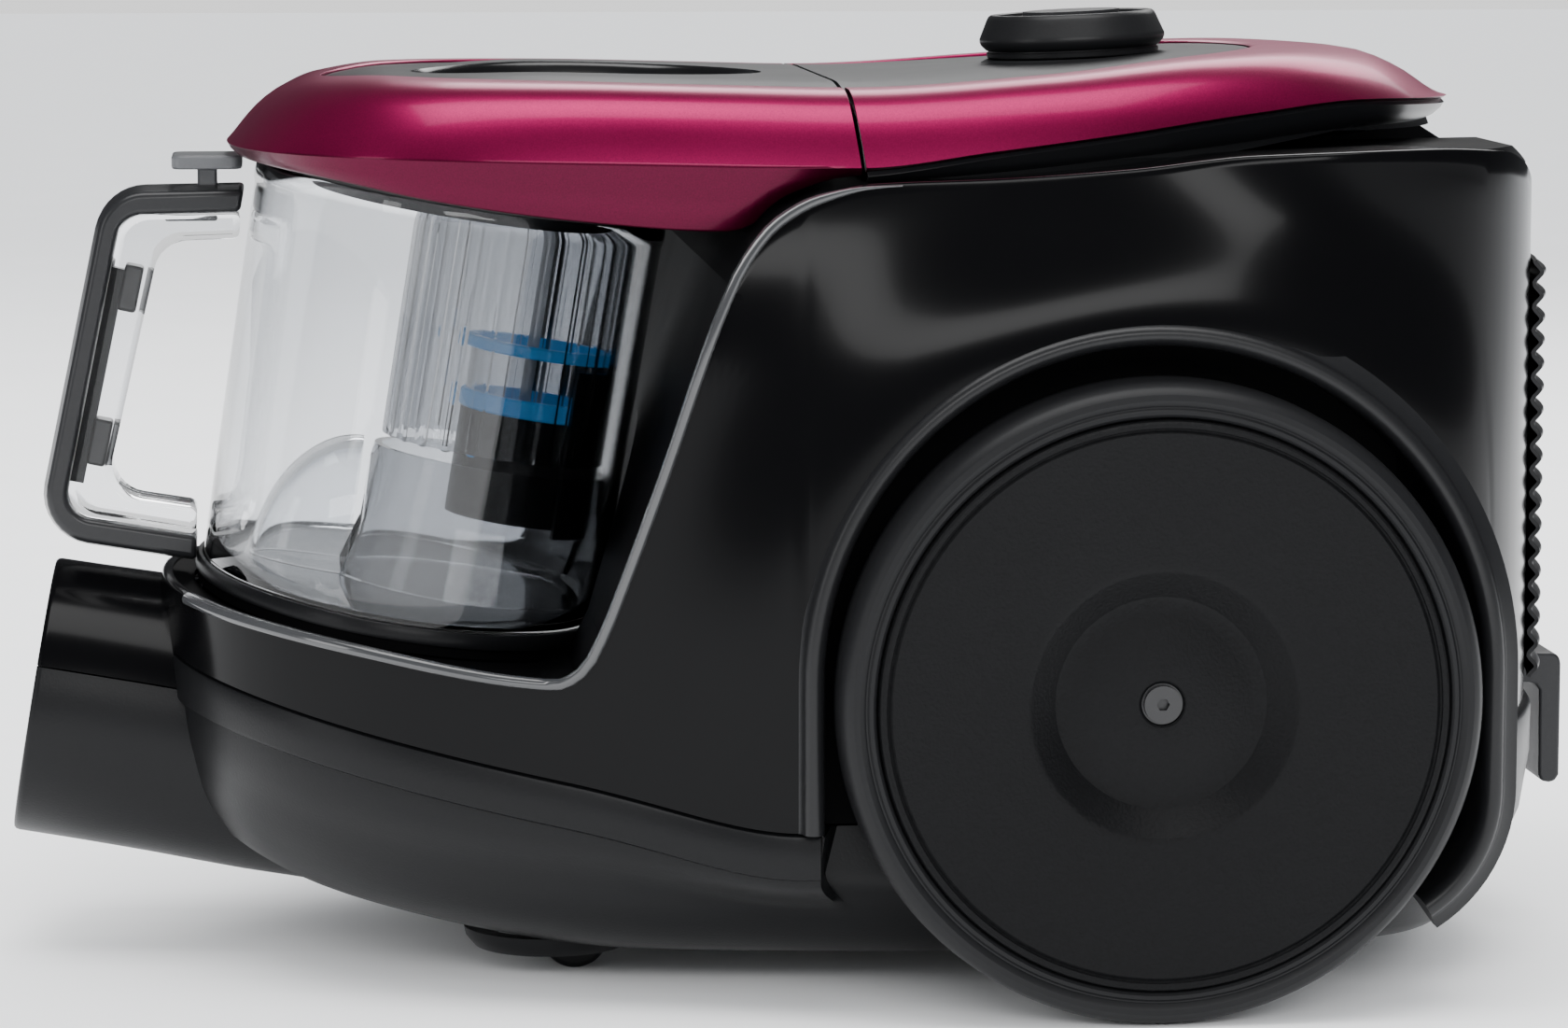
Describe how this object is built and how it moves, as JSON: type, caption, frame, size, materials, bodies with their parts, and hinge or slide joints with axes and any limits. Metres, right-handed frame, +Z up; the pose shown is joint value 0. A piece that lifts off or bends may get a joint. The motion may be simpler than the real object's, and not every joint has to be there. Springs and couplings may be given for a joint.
{
  "type": "canister vacuum cleaner",
  "caption": "Bagless canister vacuum cleaner with a lift-out clear cyclone bin, large rear wheels, front castors, suction dial, hose snout and cord reel",
  "frame": {"origin": "on the floor, at the middle of the bounding box seen from above", "axes": "+X towards the exhaust end, -X towards the hose snout, +Y to the right when pulled, +Z up"},
  "size_m": [0.3976, 0.272, 0.24],
  "materials": {
    "magenta_gloss": "clear-coated magenta, high gloss",
    "black_gloss": "piano-black gloss",
    "black_matt": "fine-grained matt black",
    "grey_matt": "matt dark grey",
    "clear": "clear plastic",
    "smoke_clear": "lightly smoked clear plastic",
    "blue": "bright blue gloss",
    "tyre": "soft dark grey tyre",
    "rubber": "matt seal rubber",
    "steel": "plain steel",
    "filter_foam": "pleated filter material",
    "board": "circuit board",
    "copper": "copper windings and steel core"
  },
  "bodies": {
    "body": {"axle_screws": "steel", "control_board": "board", "cord_gland": "black_matt", "exhaust_filter": "filter_foam", "fan_shroud": "black_matt", "hose_socket": "black_matt", "housing_screws": "steel", "inlet_duct": "black_matt", "inlet_seal": "rubber", "intake_filter": "filter_foam", "lower_housing": "black_matt", "motor_can": "steel", "motor_housing": "black_matt", "motor_mounts": "rubber", "parking_bracket": "black_matt", "rear_bumper": "black_matt", "rear_grille": "black_matt", "reel_frame": "steel", "snout_cover": "black_matt", "top_deck": "grey_matt", "top_ring": "magenta_gloss", "under_ring": "black_matt", "upper_housing": "black_gloss", "wheel_arch_left": "black_matt", "wheel_arch_right": "black_matt", "wheel_axles": "steel"},
    "dial": {"suction_dial": "grey_matt"},
    "power_key": {"power_key": "grey_matt"},
    "rewind_key": {"rewind_key": "grey_matt"},
    "wheel_left": {"wheel_disc_left": "black_matt", "wheel_tyre_left": "tyre"},
    "wheel_right": {"wheel_disc_right": "black_matt", "wheel_tyre_right": "tyre"},
    "fork_left": {"castor_fork_left": "black_matt", "castor_pin_left": "steel"},
    "fork_right": {"castor_fork_right": "black_matt", "castor_pin_right": "steel"},
    "roller_left": {"castor_wheel_left": "black_matt"},
    "roller_right": {"castor_wheel_right": "black_matt"},
    "bin": {"clear_bin": "clear", "handle_cover": "grey_matt", "bin_base": "black_matt", "inlet_volute": "clear", "skirt_cone": "smoke_clear"},
    "release_button": {"release_button": "grey_matt"},
    "release_rod": {"release_rod": "black_matt"},
    "lid": {"bin_lid": "magenta_gloss", "lid_deck": "grey_matt", "lid_plate": "black_matt", "lid_seal": "rubber", "cyclone_tube": "smoke_clear", "turbine_cup": "black_matt", "blue_band": "blue", "turbine_window": "clear", "blue_ring": "blue", "turbine_spindle": "steel"},
    "turbine": {"turbine_rotor": "black_matt"},
    "motor": {"motor_rotor": "copper"},
    "reel": {"reel_drum": "black_matt"},
    "brake": {"brake_lever": "black_matt"}
  },
  "joints": [
    {"name": "bin_lift", "type": "slide", "parent": "body", "child": "bin", "axis": [-0.1392, 0, 0.9903], "range_m": [0, 0.2]},
    {"name": "lid_lift", "type": "slide", "parent": "bin", "child": "lid", "axis": [-0.1392, 0, 0.9903], "range_m": [0, 0.11]},
    {"name": "release_button_press", "type": "slide", "parent": "bin", "child": "release_button", "axis": [0, 0, -1], "range_m": [0, 0.003], "stiffness_N_per_m": 300, "springref_m": -0.001},
    {"name": "release_rod_slide", "type": "slide", "parent": "bin", "child": "release_rod", "axis": [-0.2079, 0, -0.9781], "range_m": [0, 0.003]},
    {"name": "dial_turn", "type": "hinge", "parent": "body", "child": "dial", "pos_m": [0.0773, 0, 0.228], "axis": [-0.0436, 0, 0.999], "range_deg": [-135, 135]},
    {"name": "power_key_press", "type": "slide", "parent": "body", "child": "power_key", "axis": [0.0436, 0, -0.999], "range_m": [0, 0.0025], "stiffness_N_per_m": 300, "springref_m": -0.001},
    {"name": "rewind_key_press", "type": "slide", "parent": "body", "child": "rewind_key", "axis": [0.0436, 0, -0.999], "range_m": [0, 0.0025], "stiffness_N_per_m": 300, "springref_m": -0.001},
    {"name": "wheel_left_roll", "type": "hinge", "parent": "body", "child": "wheel_left", "pos_m": [0.0805, -0.12, 0.078], "axis": [0, 1, 0], "continuous": true},
    {"name": "castor_left_swivel", "type": "hinge", "parent": "body", "child": "fork_left", "pos_m": [-0.062, -0.048, 0.03], "axis": [0, 0, 1], "continuous": true},
    {"name": "castor_left_roll", "type": "hinge", "parent": "fork_left", "child": "roller_left", "pos_m": [-0.056, -0.048, 0.0085], "axis": [0, 1, 0], "continuous": true},
    {"name": "wheel_right_roll", "type": "hinge", "parent": "body", "child": "wheel_right", "pos_m": [0.0805, 0.12, 0.078], "axis": [0, 1, 0], "continuous": true},
    {"name": "castor_right_swivel", "type": "hinge", "parent": "body", "child": "fork_right", "pos_m": [-0.062, 0.048, 0.03], "axis": [0, 0, 1], "continuous": true},
    {"name": "castor_right_roll", "type": "hinge", "parent": "fork_right", "child": "roller_right", "pos_m": [-0.056, 0.048, 0.0085], "axis": [0, 1, 0], "continuous": true},
    {"name": "turbine_spin", "type": "hinge", "parent": "lid", "child": "turbine", "pos_m": [-0.06601, 0, 0.12382], "axis": [0.1616, 0, 0.9869], "continuous": true},
    {"name": "motor_spin", "type": "hinge", "parent": "body", "child": "motor", "pos_m": [0.062, -0.05, 0.092], "axis": [0, 1, 0], "continuous": true},
    {"name": "reel_spin", "type": "hinge", "parent": "body", "child": "reel", "pos_m": [0.098, 0.058, 0.092], "axis": [0, 1, 0], "continuous": true},
    {"name": "brake_release", "type": "hinge", "parent": "body", "child": "brake", "pos_m": [0.123, 0.059, 0.16], "axis": [0, 1, 0], "range_deg": [0, 6], "stiffness_Nm_per_rad": 0.02, "springref_deg": -5.73}
  ],
  "couplings": [
    {"joint": "release_rod_slide", "follows": "release_button_press", "ratio": 1}
  ]
}
